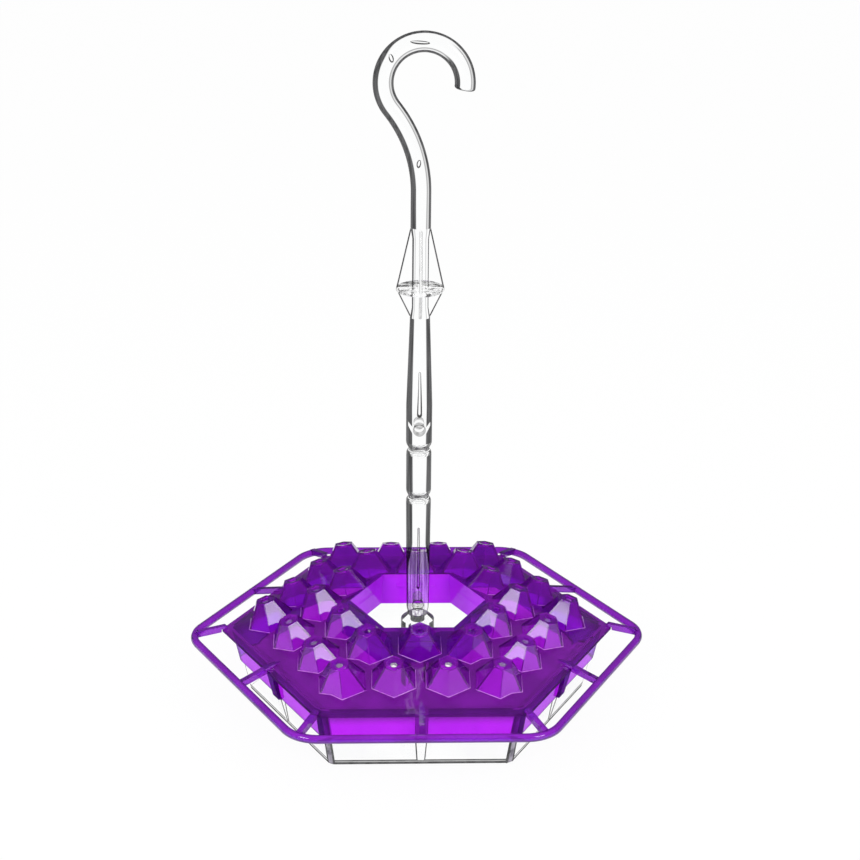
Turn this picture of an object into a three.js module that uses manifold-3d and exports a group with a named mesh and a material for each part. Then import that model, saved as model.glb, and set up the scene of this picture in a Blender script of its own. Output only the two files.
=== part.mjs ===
// A hanging hummingbird feeder: a clear six-sided nectar basin with a water moat in its middle, a tinted
// lid whose hip roof carries rows of faceted feeding ports, a perch frame round the lid, and a clear stem
// in three sections that ends in a hook. Millimetres, +Z up, origin at the middle of the basin's underside.
// Two corners of the hexagon lie on the X axis, and the hook bends in the XZ plane.

import * as THREE from 'three';
import { mergeVertices } from 'three/addons/utils/BufferGeometryUtils.js';
import Module from 'manifold-3d';

const wasm = await Module();
wasm.setup();

// Clearances
const seatGap = 0.3; // between faces that rest on each other
const slideGap = 0.4; // between walls that slide past each other
const cutPast = 1; // how far a cutting body runs past the face that it opens

// Feeding ports: hollow six-sided towers on a triangular grid, square to the roof
const portPitch = 25;
const portRows = [2, 3]; // ring numbers on the grid, counted from the stem
const portHeight = 10.3;
const portBaseFlats = 20.2;
const portTopFlats = 8.75;
const portWall = 1.3;
const portHole = 3.3;
const portDish = 6.2; // funnel round the hole
const portDishDepth = 0.9;

// Lid
const roofPitch = THREE.MathUtils.degToRad(15.5);
const lidWall = 1.5;
const rimMargin = 5.2; // from the outer ports to the basin's rim
const brimOverhang = 4.9; // from the basin's rim to the edge of the brim
const holeMargin = 0.5; // from the inner ports to the middle hole
const skirtWall = 1.4;
const skirtLength = 16;
const holeSkirtLength = 17.5;
const holeSkirtFlare = 2.2;
const buttressWidth = 6;
const buttressTopInset = 0.8; // from the brim's edge
const buttressFoot = 1.5; // how far it stands off the skirt at the bottom

// Perch frame
const perchReach = 14.3; // from the edge of the brim to the middle of the bar
const perchBar = 3.75;
const barBevel = 1.5; // rounding of the bar's section
const perchCorner = 18; // bend radius at the middle of the bar
const spokeWidth = 2.8;
const spokeRise = 1.7; // above the plane of the roof
const spokeDrop = 1.3; // below it
const sideLap = 7; // how far a spoke runs onto the brim, at the middle of a side
const cornerLap = 2.6; // and at a corner
const spokePoint = 5; // length of a side spoke's pointed end
const cornerPoint = 1.5;
const spokeTipRise = 0.8;

// Basin
const basinHeight = 32.4;
const basinDraft = THREE.MathUtils.degToRad(10.5);
const basinWall = 2.2;
const basinFloor = 2.6;
const moatHeight = 40;
const moatWall = 1.8;
const moatFlare = 1.2; // extra thickness at the foot of the moat's wall
const ribTopWidth = 5.3;
const ribFootWidth = 3.2;
const ribTopDepth = 2;
const ribFootDepth = 0.7;
const hubDiameter = 16.3;
const hubHeight = 41.2;
const hubChamferHeight = 2.8;
const hubCoreDiameter = 9;
const hubRoof = 4; // solid left between the hub's socket and its hollow

// Stem sections: each ends below in a short plug that enters a socket in the section under it
const neckDiameter = 9.8;
const plugDiameter = 6.4;
const plugLength = 3;
const plugChamfer = 0.6;
const neckTaper = 4.2; // height over which a section narrows to its lower neck
const shoulderHeight = 1.8; // height of the round shoulder at a section's top
const lowerRodLength = 62;
const lowerRodFoot = 10.9;
const rodDiameter = 12;
const middleRodLength = 24.4;
const crossHole = 5;
const crossHoleHeight = 11.6; // above a section's lower neck
const lowerCrossHoleHeight = 6.4;
const fluteDepth = 3.4;
const lowerFlute = { width: 2.2, topWidth: 1.2, length: 33.2, height: 15.1 };
const shankFlute = { width: 2.9, topWidth: 1.6, length: 22.8, height: 17.9 };

// Hook section
const shankDiameter = 12.3;
const shankStraight = 23; // height of the full-width stretch above the neck
const shankLength = 65.7;
const hookDiameter = 9.3;
const coreDiameter = 7.8; // the rod between the fins
const finLower = 13.5; // from the lower end of the fins to the disc
const finUpper = 29; // from the disc to the upper end of the fins
const finSpan = 22.4;
const finThickness = 1.6;
const discThickness = 2.2;
const hookStraight = 16.3; // above the fins
const bendRadius = 60;
const hookRadius = 18.1;
const hookOffset = 1; // of the hook's centre from the stem's axis
const hookTipAngle = THREE.MathUtils.degToRad(-9);
const tipChamfer = 1.1;
const tipInset = 0.05;

// Facets
const roundSides = 20;
const portHoleSides = 12;
const hookSteps = 46;
const curvePoints = 5;
const fluteEndSegments = 8;
const perchCornerSegments = 6;
const barBevelSegments = 2;

const halfSide = Math.cos(Math.PI / 6); // apothem of a hexagon whose corner radius is 1
const tilt = Math.tan(roofPitch);
const hipPitch = Math.atan(tilt * halfSide);
const draft = Math.tan(basinDraft);

// Plan sizes, as apothems of hexagons
const portReach = portBaseFlats / 2 / halfSide * Math.cos(roofPitch);
const rowApothem = (row) => row * portPitch * halfSide - portHeight * Math.sin(roofPitch);
const holeApothem = rowApothem(portRows[0]) - portReach - holeMargin;
const rimApothem = rowApothem(portRows.at(-1)) + portReach + rimMargin;
const brimApothem = rimApothem + brimOverhang;
const perchApothem = brimApothem + perchReach;
const wallApothem = (z) => rimApothem - (basinHeight - z) * draft; // outside of the basin
const moatApothem = holeApothem + holeSkirtFlare + skirtWall + slideGap; // inside of the moat

// Heights in the lid's own frame, whose zero is its seat on the basin's rim
const roofUnder = (apothem) => (rimApothem - apothem) * tilt;
const roofTop = (apothem) => roofUnder(apothem) + lidWall / Math.cos(roofPitch);

// A closed geometry as a solid that can be joined and cut
function solid(geometry) {
  geometry.deleteAttribute('normal');
  geometry.deleteAttribute('uv');
  const merged = mergeVertices(geometry);
  const position = merged.getAttribute('position');
  const index = merged.getIndex();
  const corner = (i) => new THREE.Vector3().fromBufferAttribute(position, i);
  const triangles = [];
  let volume = 0;
  for (let i = 0; i < index.count; i += 3) {
    const [a, b, c] = [0, 1, 2].map((k) => index.getX(i + k));
    if (a === b || b === c || c === a) continue; // a lathe has triangles without area at its axis
    triangles.push([a, b, c]);
    volume += corner(a).dot(corner(b).cross(corner(c)));
  }
  const triVerts = Uint32Array.from(triangles.flatMap(([a, b, c]) => (volume < 0 ? [a, c, b] : [a, b, c])));
  const vertProperties = Float32Array.from(position.array);
  return new wasm.Manifold(new wasm.Mesh({ numProp: 3, vertProperties, triVerts }));
}

const join = (bodies) => bodies.reduce((sum, body) => sum.add(body));
const cut = (body, tools) => tools.reduce((rest, tool) => rest.subtract(tool), body);

function piece(name, body, material) {
  const { vertProperties, triVerts } = body.getMesh();
  const geometry = new THREE.BufferGeometry();
  geometry.setAttribute('position', new THREE.BufferAttribute(vertProperties, 3));
  geometry.setIndex(new THREE.BufferAttribute(triVerts, 1));
  geometry.computeVertexNormals();
  const mesh = new THREE.Mesh(geometry, material);
  mesh.name = name;
  return mesh;
}

// A profile turned about Z: points are [radius, height]
function turned(points, sides = roundSides) {
  const outline = points.map(([radius, height]) => new THREE.Vector2(radius, height));
  return new THREE.LatheGeometry(outline, sides).rotateX(Math.PI / 2);
}

// A profile carried round a hexagon with corners on the X axis: points are [apothem, height]
function hexTurned(points) {
  const outline = points.map(([apothem, height]) => new THREE.Vector2(apothem / halfSide, height));
  return new THREE.LatheGeometry(outline, 6, Math.PI / 2).rotateX(Math.PI / 2);
}

// A cone or cylinder along Z, from height low to height high
function upright(lowRadius, highRadius, low, high, sides = roundSides) {
  const geometry = new THREE.CylinderGeometry(highRadius, lowRadius, high - low, sides);
  return geometry.rotateX(Math.PI / 2).translate(0, 0, (low + high) / 2);
}

const outlineOf = (points) => new THREE.Shape(points.map(([x, y]) => new THREE.Vector2(x, y)));

// A flat outline in X and Z, standing in the XZ plane and centred on it
function plate(outline, thickness) {
  const geometry = new THREE.ExtrudeGeometry(outline, {
    depth: thickness,
    bevelEnabled: false,
    curveSegments: fluteEndSegments,
  });
  return geometry.translate(0, 0, -thickness / 2).rotateX(Math.PI / 2);
}

const hexSides = [...Array(6).keys()];
const sideAngle = (side) => (side + 0.5) * Math.PI / 3; // direction of a side's middle
const cornerAngle = (side) => side * Math.PI / 3;
const turnedTo = (body, angle) => body.rotate([0, 0, THREE.MathUtils.radToDeg(angle)]);

// Basin: tray, moat wall, hub and the upright ribs outside
function basin() {
  const rim = basinHeight;
  const tray = solid(hexTurned([
    [0, 0],
    [wallApothem(0), 0],
    [wallApothem(rim), rim],
    [wallApothem(rim) - basinWall, rim],
    [wallApothem(basinFloor) - basinWall, basinFloor],
    [moatApothem + moatWall + moatFlare, basinFloor],
    [moatApothem + moatWall, moatHeight],
    [moatApothem, moatHeight],
    [moatApothem, basinFloor],
    [0, basinFloor],
  ]));
  const socketFloor = hubHeight - plugLength - 2 * seatGap;
  const hub = solid(turned([
    [0, 0],
    [hubDiameter / 2, 0],
    [hubDiameter / 2, hubHeight - hubChamferHeight],
    [neckDiameter / 2, hubHeight],
    [0, hubHeight],
  ]));
  const socketRadius = plugDiameter / 2 + seatGap;
  const socket = solid(upright(socketRadius, socketRadius, socketFloor, hubHeight + cutPast));
  const hollow = solid(upright(hubCoreDiameter / 2, hubCoreDiameter / 2, -cutPast, socketFloor - hubRoof));
  const ribTop = basinHeight - skirtLength;
  const embed = basinWall / 2;
  const sideView = solid(plate(outlineOf([
    [wallApothem(basinFloor) - embed, basinFloor],
    [wallApothem(basinFloor) + ribFootDepth, basinFloor],
    [wallApothem(ribTop) + ribTopDepth, ribTop],
    [wallApothem(ribTop) - embed, ribTop],
  ]), 2 * ribTopWidth));
  const frontView = solid(plate(outlineOf([
    [-ribFootWidth / 2, 0],
    [ribFootWidth / 2, 0],
    [ribTopWidth / 2, ribTop],
    [-ribTopWidth / 2, ribTop],
  ]), 4 * rimApothem).rotateZ(Math.PI / 2));
  const rib = sideView.intersect(frontView);
  const ribs = hexSides.map((side) => turnedTo(rib, sideAngle(side)));
  return cut(join([tray, hub, ...ribs]), [socket, hollow]);
}

// Where the ports stand: each has the middle of its base on the roof and an axis square to the roof,
// and the ports on the roof's six hips lean along the hip
function portPlaces() {
  const places = [];
  for (const row of portRows) {
    for (const side of hexSides) {
      for (let step = 0; step < row; step += 1) {
        const onHip = step === 0;
        const lean = onHip ? hipPitch : roofPitch;
        const azimuth = onHip ? cornerAngle(side) : sideAngle(side);
        const outward = new THREE.Vector3(Math.cos(azimuth), Math.sin(azimuth), 0);
        const axis = outward.clone().multiplyScalar(Math.sin(lean));
        axis.z = Math.cos(lean);
        const start = new THREE.Vector3(Math.cos(cornerAngle(side)), Math.sin(cornerAngle(side)), 0);
        const end = new THREE.Vector3(Math.cos(cornerAngle(side + 1)), Math.sin(cornerAngle(side + 1)), 0);
        const middle = start.lerp(end, step / row).multiplyScalar(row * portPitch);
        middle.addScaledVector(outward, -portHeight * Math.sin(lean));
        middle.z = roofTop(middle.dot(outward) * (onHip ? halfSide : 1));
        places.push({ middle, axis });
      }
    }
  }
  return places;
}

// Lid: roof, brim and skirts in one profile, then the ports and the buttresses under the brim
function portLid() {
  const skirtInner = (z) => wallApothem(basinHeight + z) + slideGap;
  const skirtTop = (offset) => (rimApothem - skirtInner(0) - offset) * tilt / (1 + draft * tilt);
  const outerTop = skirtTop(skirtWall);
  const innerTop = skirtTop(0);
  const holeSkirtBottom = roofTop(holeApothem) - holeSkirtLength;
  const holeSkirtTop = holeApothem + skirtWall;
  const shell = solid(hexTurned([
    [holeApothem + holeSkirtFlare, holeSkirtBottom],
    [holeApothem, roofTop(holeApothem)],
    [brimApothem, roofTop(brimApothem)],
    [brimApothem, roofUnder(brimApothem)],
    [skirtInner(outerTop) + skirtWall, outerTop],
    [skirtInner(-skirtLength) + skirtWall, -skirtLength],
    [skirtInner(-skirtLength), -skirtLength],
    [skirtInner(innerTop), innerTop],
    [holeSkirtTop, roofUnder(holeSkirtTop)],
    [holeApothem + holeSkirtFlare + skirtWall, holeSkirtBottom],
    [holeApothem + holeSkirtFlare, holeSkirtBottom],
  ]));

  const buttressOuter = brimApothem - buttressTopInset;
  const buttress = solid(plate(outlineOf([
    [skirtInner(-skirtLength) + skirtWall / 2, -skirtLength],
    [skirtInner(-skirtLength) + skirtWall + buttressFoot, -skirtLength],
    [buttressOuter, roofUnder(buttressOuter) + lidWall / 2],
    [skirtInner(innerTop) + skirtWall / 2, innerTop],
  ]), buttressWidth));
  const buttresses = hexSides.map((side) => turnedTo(buttress, sideAngle(side)));

  const flare = (portBaseFlats - portTopFlats) / 2 / portHeight; // how fast a port widens downwards
  const wallOffset = portWall * Math.hypot(1, flare);
  const root = 2 * lidWall; // depth of the tower's blank below the roof
  const cornerAt = (height, offset) => (portTopFlats / 2 + (portHeight - height) * flare - offset) / halfSide;
  const ceiling = portHeight - portWall;
  const tower = upright(cornerAt(-root, 0), cornerAt(portHeight, 0), -root, portHeight, 6);
  const below = -2 * root;
  const hollow = upright(cornerAt(below, wallOffset), cornerAt(ceiling, wallOffset), below, ceiling, 6);
  const dishSlope = (portDish - portHole) / 2 / portDishDepth;
  const bore = turned([
    [0, ceiling - portWall],
    [portHole / 2, ceiling - portWall],
    [portHole / 2, portHeight - portDishDepth],
    [portDish / 2 + portWall * dishSlope, portHeight + portWall],
    [0, portHeight + portWall],
  ], portHoleSides);
  const towers = [];
  const hollows = [];
  for (const { middle, axis } of portPlaces()) {
    const turn = new THREE.Quaternion().setFromUnitVectors(new THREE.Vector3(0, 0, 1), axis);
    const place = new THREE.Matrix4().compose(middle, turn, new THREE.Vector3(1, 1, 1));
    const placed = (geometry) => solid(geometry.clone().applyMatrix4(place));
    towers.push(placed(tower));
    hollows.push(placed(hollow), placed(bore));
  }
  const midRoof = (apothem) => (roofUnder(apothem) + roofTop(apothem)) / 2;
  const belowMidRoof = solid(hexTurned([
    [0, -skirtLength],
    [rimApothem, -skirtLength],
    [rimApothem, midRoof(rimApothem)],
    [0, midRoof(0)],
  ]));
  const ports = cut(join(towers), [belowMidRoof]);
  return cut(join([shell, ...buttresses, ports]), hollows);
}

// A hexagon with round corners, as an outline in the XY plane
function roundHexagon(OutlineClass, apothem, radius) {
  const outline = new OutlineClass();
  const reach = (apothem - radius) / halfSide;
  const spread = Math.PI / 6;
  for (const side of hexSides) {
    const angle = cornerAngle(side);
    const [x, y] = [reach * Math.cos(angle), reach * Math.sin(angle)];
    outline.absarc(x, y, radius, angle - spread, angle + spread, false);
  }
  outline.closePath();
  return outline;
}

// Perch frame: a round bar bent to a hexagon, carried by spokes that lap onto the brim
function perchFrame() {
  const core = perchBar - 2 * barBevel;
  const ringShape = roundHexagon(THREE.Shape, perchApothem + core / 2, perchCorner + core / 2);
  ringShape.holes.push(roundHexagon(THREE.Path, perchApothem - core / 2, perchCorner - core / 2));
  const ring = solid(new THREE.ExtrudeGeometry(ringShape, {
    depth: core,
    bevelThickness: barBevel,
    bevelSize: barBevel,
    bevelSegments: barBevelSegments,
    curveSegments: perchCornerSegments,
  }).translate(0, 0, roofTop(perchApothem) - core / 2));

  // The stretch of a spoke on the brim clears it by the seat gap, and beyond its edge the spoke is full depth
  const spoke = (brimEdge, lap, point, barMiddle, heightAt) => {
    const tip = brimEdge - lap;
    const edge = brimEdge + seatGap;
    const sideView = solid(plate(outlineOf([
      [tip, heightAt(tip) + seatGap],
      [edge, heightAt(edge) + seatGap],
      [edge, heightAt(edge) - spokeDrop],
      [barMiddle, heightAt(barMiddle) - spokeDrop],
      [barMiddle, heightAt(barMiddle) + spokeRise],
      [tip + point, heightAt(tip + point) + spokeRise],
      [tip, heightAt(tip) + spokeTipRise],
    ]), 2 * spokeWidth));
    const half = spokeWidth / 2;
    const plan = outlineOf([
      [tip, 0],
      [tip + point, -half],
      [barMiddle + cutPast, -half],
      [barMiddle + cutPast, half],
      [tip + point, half],
    ]);
    const low = heightAt(barMiddle) - 2 * perchBar;
    const depth = heightAt(tip) - low + 2 * perchBar;
    const topView = new THREE.ExtrudeGeometry(plan, { depth, bevelEnabled: false }).translate(0, 0, low);
    return sideView.intersect(solid(topView));
  };
  const cornerReach = (perchApothem - perchCorner) / halfSide + perchCorner;
  const hipTop = (reach) => roofTop(reach * halfSide);
  const sideSpoke = spoke(brimApothem, sideLap, spokePoint, perchApothem, roofTop);
  const cornerSpoke = spoke(brimApothem / halfSide, cornerLap, cornerPoint, cornerReach, hipTop);
  const spokes = hexSides.flatMap((side) => [
    turnedTo(sideSpoke, sideAngle(side)),
    turnedTo(cornerSpoke, cornerAngle(side)),
  ]);
  return join([ring, ...spokes]);
}

// The lower end of a stem section, as profile points: plug, neck and taper
function sectionFoot(radius) {
  const path = new THREE.Path();
  path.moveTo(0, -plugLength);
  path.lineTo(plugDiameter / 2 - plugChamfer, -plugLength);
  path.lineTo(plugDiameter / 2, -plugLength + plugChamfer);
  path.lineTo(plugDiameter / 2, 0);
  path.lineTo(neckDiameter / 2, 0);
  path.bezierCurveTo(neckDiameter / 2, neckTaper / 2, radius, neckTaper / 2, radius, neckTaper);
  return path;
}

const profilePoints = (path) => path.getPoints(curvePoints).map(({ x, y }) => [x, y]);

// A plain stem section in its own frame, whose zero is its lower neck
function rodSection(length, footRadius, topRadius) {
  const path = sectionFoot(footRadius);
  path.lineTo(topRadius, length - shoulderHeight);
  path.quadraticCurveTo(topRadius, length, neckDiameter / 2, length);
  const socketRadius = plugDiameter / 2 + seatGap;
  const socketFloor = length - plugLength - 2 * seatGap;
  path.lineTo(socketRadius, length);
  path.lineTo(socketRadius, socketFloor);
  path.lineTo(0, socketFloor);
  return solid(turned(profilePoints(path)));
}

// A hole across a stem section, from front to back
function crossBore(height) {
  const bore = new THREE.CylinderGeometry(crossHole / 2, crossHole / 2, 2 * rodDiameter, roundSides);
  return solid(bore.translate(0, 0, height));
}

// A slim flute sunk into the front of a stem section, rounded at both ends and narrower at its top
function flute({ width, topWidth, length, height }, surface) {
  const outline = new THREE.Shape();
  outline.absarc(0, height + width / 2, width / 2, Math.PI, 2 * Math.PI, false);
  outline.absarc(0, height + length - topWidth / 2, topWidth / 2, 0, Math.PI, false);
  outline.closePath();
  return solid(plate(outline, 2 * fluteDepth).translate(0, -surface, 0));
}

// An arc in the XZ plane
class UprightArc extends THREE.Curve {
  constructor(x, z, radius, start, end) {
    super();
    Object.assign(this, { x, z, radius, start, end });
  }

  getPoint(t, target = new THREE.Vector3()) {
    const angle = THREE.MathUtils.lerp(this.start, this.end, t);
    return target.set(this.x + this.radius * Math.cos(angle), 0, this.z + this.radius * Math.sin(angle));
  }
}

// Hook section in its own frame: shank, finned diamond, and a rod bent first to the left and then over
function hookRod() {
  const finFoot = shankLength;
  const discHeight = finFoot + finLower;
  const finTop = discHeight + finUpper;
  const hookRodRadius = hookDiameter / 2;
  const path = sectionFoot(shankDiameter / 2);
  path.lineTo(shankDiameter / 2, shankStraight);
  path.lineTo(hookRodRadius, finFoot);
  path.lineTo(coreDiameter / 2, finFoot + (hookDiameter - coreDiameter) / 2);
  path.lineTo(coreDiameter / 2, finTop + hookStraight / 2);
  path.lineTo(0, finTop + hookStraight / 2);
  const shank = solid(turned(profilePoints(path)));

  const finEdge = [
    [hookRodRadius, finTop],
    [finSpan / 2, discHeight],
    [hookRodRadius, finFoot],
  ];
  const otherEdge = finEdge.map(([x, z]) => [-x, z]).reverse();
  const fins = plate(outlineOf([...finEdge, ...otherEdge]), finThickness);
  const crossFins = fins.clone().rotateZ(Math.PI / 2);
  const half = discThickness / 2;
  const disc = turned([
    [0, discHeight - half],
    [finSpan / 2 - half, discHeight - half],
    [finSpan / 2, discHeight],
    [finSpan / 2 - half, discHeight + half],
    [0, discHeight + half],
  ]);

  const bendStart = finTop + hookStraight;
  const bend = Math.acos((bendRadius + hookOffset) / (bendRadius + hookRadius));
  const hookHeight = bendStart + (bendRadius + hookRadius) * Math.sin(bend);
  const route = new THREE.CurvePath();
  route.add(new THREE.LineCurve3(new THREE.Vector3(0, 0, finTop), new THREE.Vector3(0, 0, bendStart)));
  route.add(new UprightArc(-bendRadius, bendStart, bendRadius, 0, bend));
  route.add(new UprightArc(hookOffset, hookHeight, hookRadius, Math.PI + bend, hookTipAngle));
  const section = new THREE.Shape().absarc(0, 0, hookRodRadius, 0, 2 * Math.PI, false);
  const rod = new THREE.ExtrudeGeometry(section, {
    extrudePath: route,
    steps: hookSteps,
    curveSegments: roundSides / 2,
  });
  const tipMiddle = route.getPoint(1);
  const tipWay = route.getTangent(1);
  const tipFoot = hookRodRadius - tipInset;
  const tip = new THREE.CylinderGeometry(tipFoot - tipChamfer, tipFoot, tipChamfer, roundSides);
  tip.translate(0, tipChamfer / 2 - tipInset, 0);
  tip.applyQuaternion(new THREE.Quaternion().setFromUnitVectors(new THREE.Vector3(0, 1, 0), tipWay));
  tip.translate(tipMiddle.x, tipMiddle.y, tipMiddle.z);
  const body = join([shank, ...[fins, crossFins, disc, rod, tip].map(solid)]);
  return cut(body, [crossBore(crossHoleHeight), flute(shankFlute, shankDiameter / 2)]);
}

const clearPlastic = () => new THREE.MeshStandardMaterial({
  color: 0xe9eef2,
  roughness: 0.06,
  metalness: 0,
  transparent: true,
  opacity: 0.4,
});
const violetPlastic = () => new THREE.MeshStandardMaterial({
  color: 0x8a1fd6,
  roughness: 0.12,
  metalness: 0,
  transparent: true,
  opacity: 0.8,
});

const feeder = new THREE.Group();
feeder.add(piece('basin', basin(), clearPlastic()));

const lid = new THREE.Group();
lid.position.z = basinHeight + seatGap;
lid.add(piece('port_lid', portLid(), violetPlastic()));
lid.add(piece('perch_frame', perchFrame(), violetPlastic()));
feeder.add(lid);

const stem = new THREE.Group();
stem.position.z = hubHeight + seatGap;
const rodRadius = rodDiameter / 2;
const lowerRodBody = cut(
  rodSection(lowerRodLength, lowerRodFoot / 2, rodRadius),
  [crossBore(lowerCrossHoleHeight), flute(lowerFlute, rodRadius)],
);
stem.add(piece('lower_rod', lowerRodBody, clearPlastic()));
const middleRod = piece('middle_rod', rodSection(middleRodLength, rodRadius, rodRadius), clearPlastic());
middleRod.position.z = lowerRodLength + seatGap;
stem.add(middleRod);
const hook = piece('hook_rod', hookRod(), clearPlastic());
hook.position.z = middleRod.position.z + middleRodLength + seatGap;
stem.add(hook);
feeder.add(stem);

export default feeder;
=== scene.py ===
# A hanging hummingbird feeder in clear and violet plastic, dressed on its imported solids. Metres, +Z up.

import math

import bpy
from mathutils import Matrix, Vector


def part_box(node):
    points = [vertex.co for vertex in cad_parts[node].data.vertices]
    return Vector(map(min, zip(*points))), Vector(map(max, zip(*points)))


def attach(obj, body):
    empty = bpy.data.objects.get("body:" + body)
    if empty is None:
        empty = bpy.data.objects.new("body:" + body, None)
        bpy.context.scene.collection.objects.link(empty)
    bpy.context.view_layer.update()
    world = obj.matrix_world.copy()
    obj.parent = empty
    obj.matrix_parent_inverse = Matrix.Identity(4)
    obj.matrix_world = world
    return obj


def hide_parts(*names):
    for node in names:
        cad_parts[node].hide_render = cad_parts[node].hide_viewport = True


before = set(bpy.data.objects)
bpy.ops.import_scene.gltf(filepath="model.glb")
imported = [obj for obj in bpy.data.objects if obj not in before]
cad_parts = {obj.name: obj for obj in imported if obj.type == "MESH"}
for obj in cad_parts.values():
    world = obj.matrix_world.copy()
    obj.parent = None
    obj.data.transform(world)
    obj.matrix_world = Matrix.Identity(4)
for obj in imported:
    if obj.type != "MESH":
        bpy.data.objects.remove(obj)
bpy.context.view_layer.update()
mm = 0.001
print("frame loaded:", ", ".join(sorted(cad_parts)))


# Shader wiring

class Wire:
    # an output socket; arithmetic on wires adds Math nodes to the same tree
    def __init__(self, socket):
        self.socket = socket
        self.tree = socket.id_data

    @staticmethod
    def add(tree, kind, settings=None, inputs=None, output=0):
        node = tree.nodes.new(kind)
        for key, value in (settings or {}).items():
            setattr(node, key, value)
        for key, value in (inputs or {}).items():
            if isinstance(value, Wire):
                tree.links.new(value.socket, node.inputs[key])
            else:
                node.inputs[key].default_value = value
        return Wire(node.outputs[output])

    def maths(self, operation, first, second):
        return Wire.add(self.tree, "ShaderNodeMath", {"operation": operation}, {0: first, 1: second})

    def __add__(self, other):
        return self.maths("ADD", self, other)

    def __sub__(self, other):
        return self.maths("SUBTRACT", self, other)

    def __rsub__(self, other):
        return self.maths("SUBTRACT", other, self)

    def __mul__(self, other):
        return self.maths("MULTIPLY", self, other)

    def __truediv__(self, other):
        return self.maths("DIVIDE", self, other)

    def __pow__(self, other):
        return self.maths("POWER", self, other)

    def __abs__(self):
        return self.maths("ABSOLUTE", self, 0)

    __radd__ = __add__
    __rmul__ = __mul__

    def atLeast(self, other):
        return self.maths("MAXIMUM", self, other)

    def atMost(self, other):
        return self.maths("MINIMUM", self, other)

    def between(self, low, high, start=0, end=1):
        limits = {"From Min": low, "From Max": high, "To Min": start, "To Max": end}
        return Wire.add(self.tree, "ShaderNodeMapRange", {"interpolation_type": "SMOOTHSTEP"},
                        {"Value": self, **limits})


def newTree(name):
    material = bpy.data.materials.new(name)
    material.use_nodes = True
    material.node_tree.nodes.clear()
    return material, material.node_tree


def mixColour(tree, factor, first, second):
    return Wire.add(tree, "ShaderNodeMix", {"data_type": "RGBA"}, {0: factor, 6: first, 7: second}, 2)


def objectPlace(tree):
    return Wire.add(tree, "ShaderNodeTexCoord", output="Object")


def noise(tree, scale, detail=3, stretch=(1, 1, 1)):
    place = Wire.add(tree, "ShaderNodeMapping", {}, {"Vector": objectPlace(tree), "Scale": stretch})
    return Wire.add(tree, "ShaderNodeTexNoise", {}, {"Vector": place, "Scale": scale, "Detail": detail})


def turnedAway(tree, **inputs):
    # 0 where a surface faces the eye, 1 where it is seen edge on
    return Wire.add(tree, "ShaderNodeLayerWeight", {}, {"Blend": .5, **inputs}, "Facing")


def finishTree(tree, shader, output="ShaderNodeOutputMaterial"):
    end = tree.nodes.new(output)
    tree.links.new(shader.socket, end.inputs["Surface"])


# Clear stem: water-clear in the middle, with painted shade where its walls turn away: dark bands that stand
# for the dark a clear rod refracts at its sides, with painted vertical streaks in the dark
stemLook = {
    "clear": (.985, .99, .99, 1),
    "dark": (.003, .003, .0032, 1),
    "streak": (.02, .02, .021, 1),
    "bandStart": .165,  # turn at which the painted dark band starts on an upright wall
    "bandSoft": .05,
    "thinStart": .42,  # and on one that leans
    "lopsided": .08,  # widens the left band
    "upright": (.25, .75),
    "line": (2, .05),  # turn and half width of a thin painted dark line; past a turn of 1 there is none
    "lineDepth": .6,
    "rough": (.012, .03),
    "waveScale": 160,
    "waveSpan": (.3, .7),
    "streakScale": 900,
    "streakStretch": (1, 1, .04),
    "streakSpan": (.35, .7),
    "index": 1,
    "coat": .3,
    "seeThrough": 1,
    "slope": .965,  # keeps the bands as wide as they look from the front
    "leastSlope": .2,
}


def split(tree, vector):
    return [Wire.add(tree, "ShaderNodeSeparateXYZ", {}, {0: vector}, axis) for axis in range(3)]


def aroundStem(tree, normal, look):
    # how far a wall turns away round the stem, the same whether the stem is seen from the side or from above
    along = Wire.add(tree, "ShaderNodeVectorMath", {"operation": "CROSS_PRODUCT"}, {0: normal, 1: (0, 1, 0)})
    along = Wire.add(tree, "ShaderNodeVectorMath", {"operation": "NORMALIZE"}, {0: along})
    endOn = 1 - turnedAway(tree, Normal=along)
    slope = ((1 - endOn * endOn) ** .5).atLeast(look["leastSlope"])
    toward = 1 - turnedAway(tree)
    return 1 - toward * look["slope"] / slope


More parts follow.
